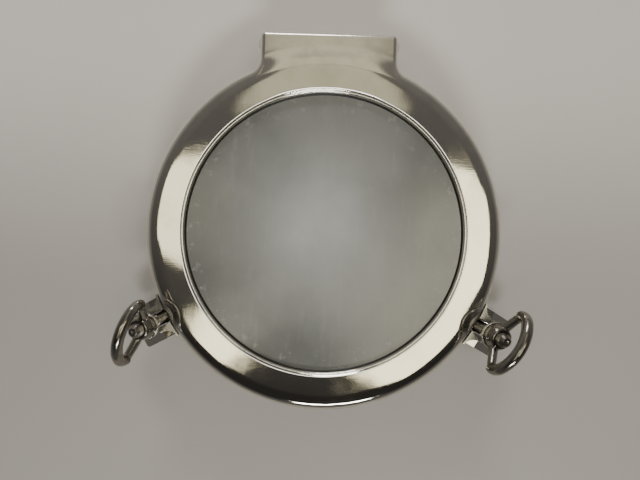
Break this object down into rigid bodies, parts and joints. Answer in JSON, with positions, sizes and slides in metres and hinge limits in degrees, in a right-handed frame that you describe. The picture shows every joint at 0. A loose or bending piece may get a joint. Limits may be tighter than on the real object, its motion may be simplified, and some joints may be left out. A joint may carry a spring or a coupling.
{
  "type": "opening porthole",
  "caption": "Round opening porthole for a boat: glazed hinged door on a fixed flanged frame, pulled down by swing bolts with ring nuts.",
  "frame": {"origin": "on the axis of the opening, in the plane of the flange face that bears on the hull lining", "axes": "+Z into the cabin, along the axis of the opening; +Y from the opening to the hinge; +X completes a right-handed frame"},
  "size_m": [0.3698, 0.34, 0.118],
  "materials": {
    "cast_stainless": "mirror polished casting",
    "turned_stainless": "turned, lightly polished",
    "satin_stainless": "satin",
    "bolt_stainless": "dull turned",
    "nut_stainless": "tumbled polish",
    "bronze": "plain bored",
    "glass": "clear, slightly hazed",
    "black_sealant": "matt cured bead",
    "black_rubber": "matt"
  },
  "bodies": {
    "frame": {"main_frame": "cast_stainless", "hinge_bush_left": "bronze", "hinge_bush_right": "bronze", "dog_pin_left": "turned_stainless", "dog_pin_right": "turned_stainless", "dog_pin_clip_left": "turned_stainless", "dog_pin_clip_right": "turned_stainless"},
    "door": {"door_ring": "cast_stainless", "glass_pane": "glass", "glazing_seal": "black_sealant", "glass_clamp_ring": "satin_stainless", "clamp_ring_screws": "turned_stainless", "door_gasket": "black_rubber", "hinge_pin": "turned_stainless", "hinge_pin_cap": "turned_stainless", "hinge_washers": "bronze"},
    "bolt_left": {"swing_bolt_left": "bolt_stainless"},
    "washer_left": {"nut_washer_left": "turned_stainless"},
    "nut_left": {"ring_nut_left": "nut_stainless"},
    "bolt_right": {"swing_bolt_right": "bolt_stainless"},
    "washer_right": {"nut_washer_right": "turned_stainless"},
    "nut_right": {"ring_nut_right": "nut_stainless"}
  },
  "joints": [
    {"name": "door_hinge", "type": "hinge", "parent": "frame", "child": "door", "pos_m": [0, 0.172, 0.0325], "axis": [-1, 0, 0], "range_deg": [0, 110]},
    {"name": "bolt_left_swing", "type": "hinge", "parent": "frame", "child": "bolt_left", "pos_m": [-0.14506, -0.08174, 0.0095], "axis": [0.4909, -0.8712, 0], "range_deg": [-14, 46]},
    {"name": "bolt_right_swing", "type": "hinge", "parent": "frame", "child": "bolt_right", "pos_m": [0.14506, -0.08174, 0.0095], "axis": [0.4909, 0.8712, 0], "range_deg": [-11.5, 48.5]},
    {"name": "washer_left_travel", "type": "slide", "parent": "bolt_left", "child": "washer_left", "axis": [-0.2108, -0.1188, 0.9703], "range_m": [-0.00876, 0.00351]},
    {"name": "nut_left_turn", "type": "hinge", "parent": "washer_left", "child": "nut_left", "pos_m": [-0.14506, -0.08174, 0.0095], "axis": [-0.2108, -0.1188, 0.9703], "range_deg": [-1800, 720]},
    {"name": "washer_right_travel", "type": "slide", "parent": "bolt_right", "child": "washer_right", "axis": [0.1737, -0.0979, 0.9799], "range_m": [-0.00876, 0.00351]},
    {"name": "nut_right_turn", "type": "hinge", "parent": "washer_right", "child": "nut_right", "pos_m": [0.14506, -0.08174, 0.0095], "axis": [0.1737, -0.0979, 0.9799], "range_deg": [-1800, 720]}
  ],
  "couplings": [
    {"joint": "washer_left_travel", "follows": "nut_left_turn", "m_per_rad": 0.00027852},
    {"joint": "washer_right_travel", "follows": "nut_right_turn", "m_per_rad": 0.00027852}
  ]
}
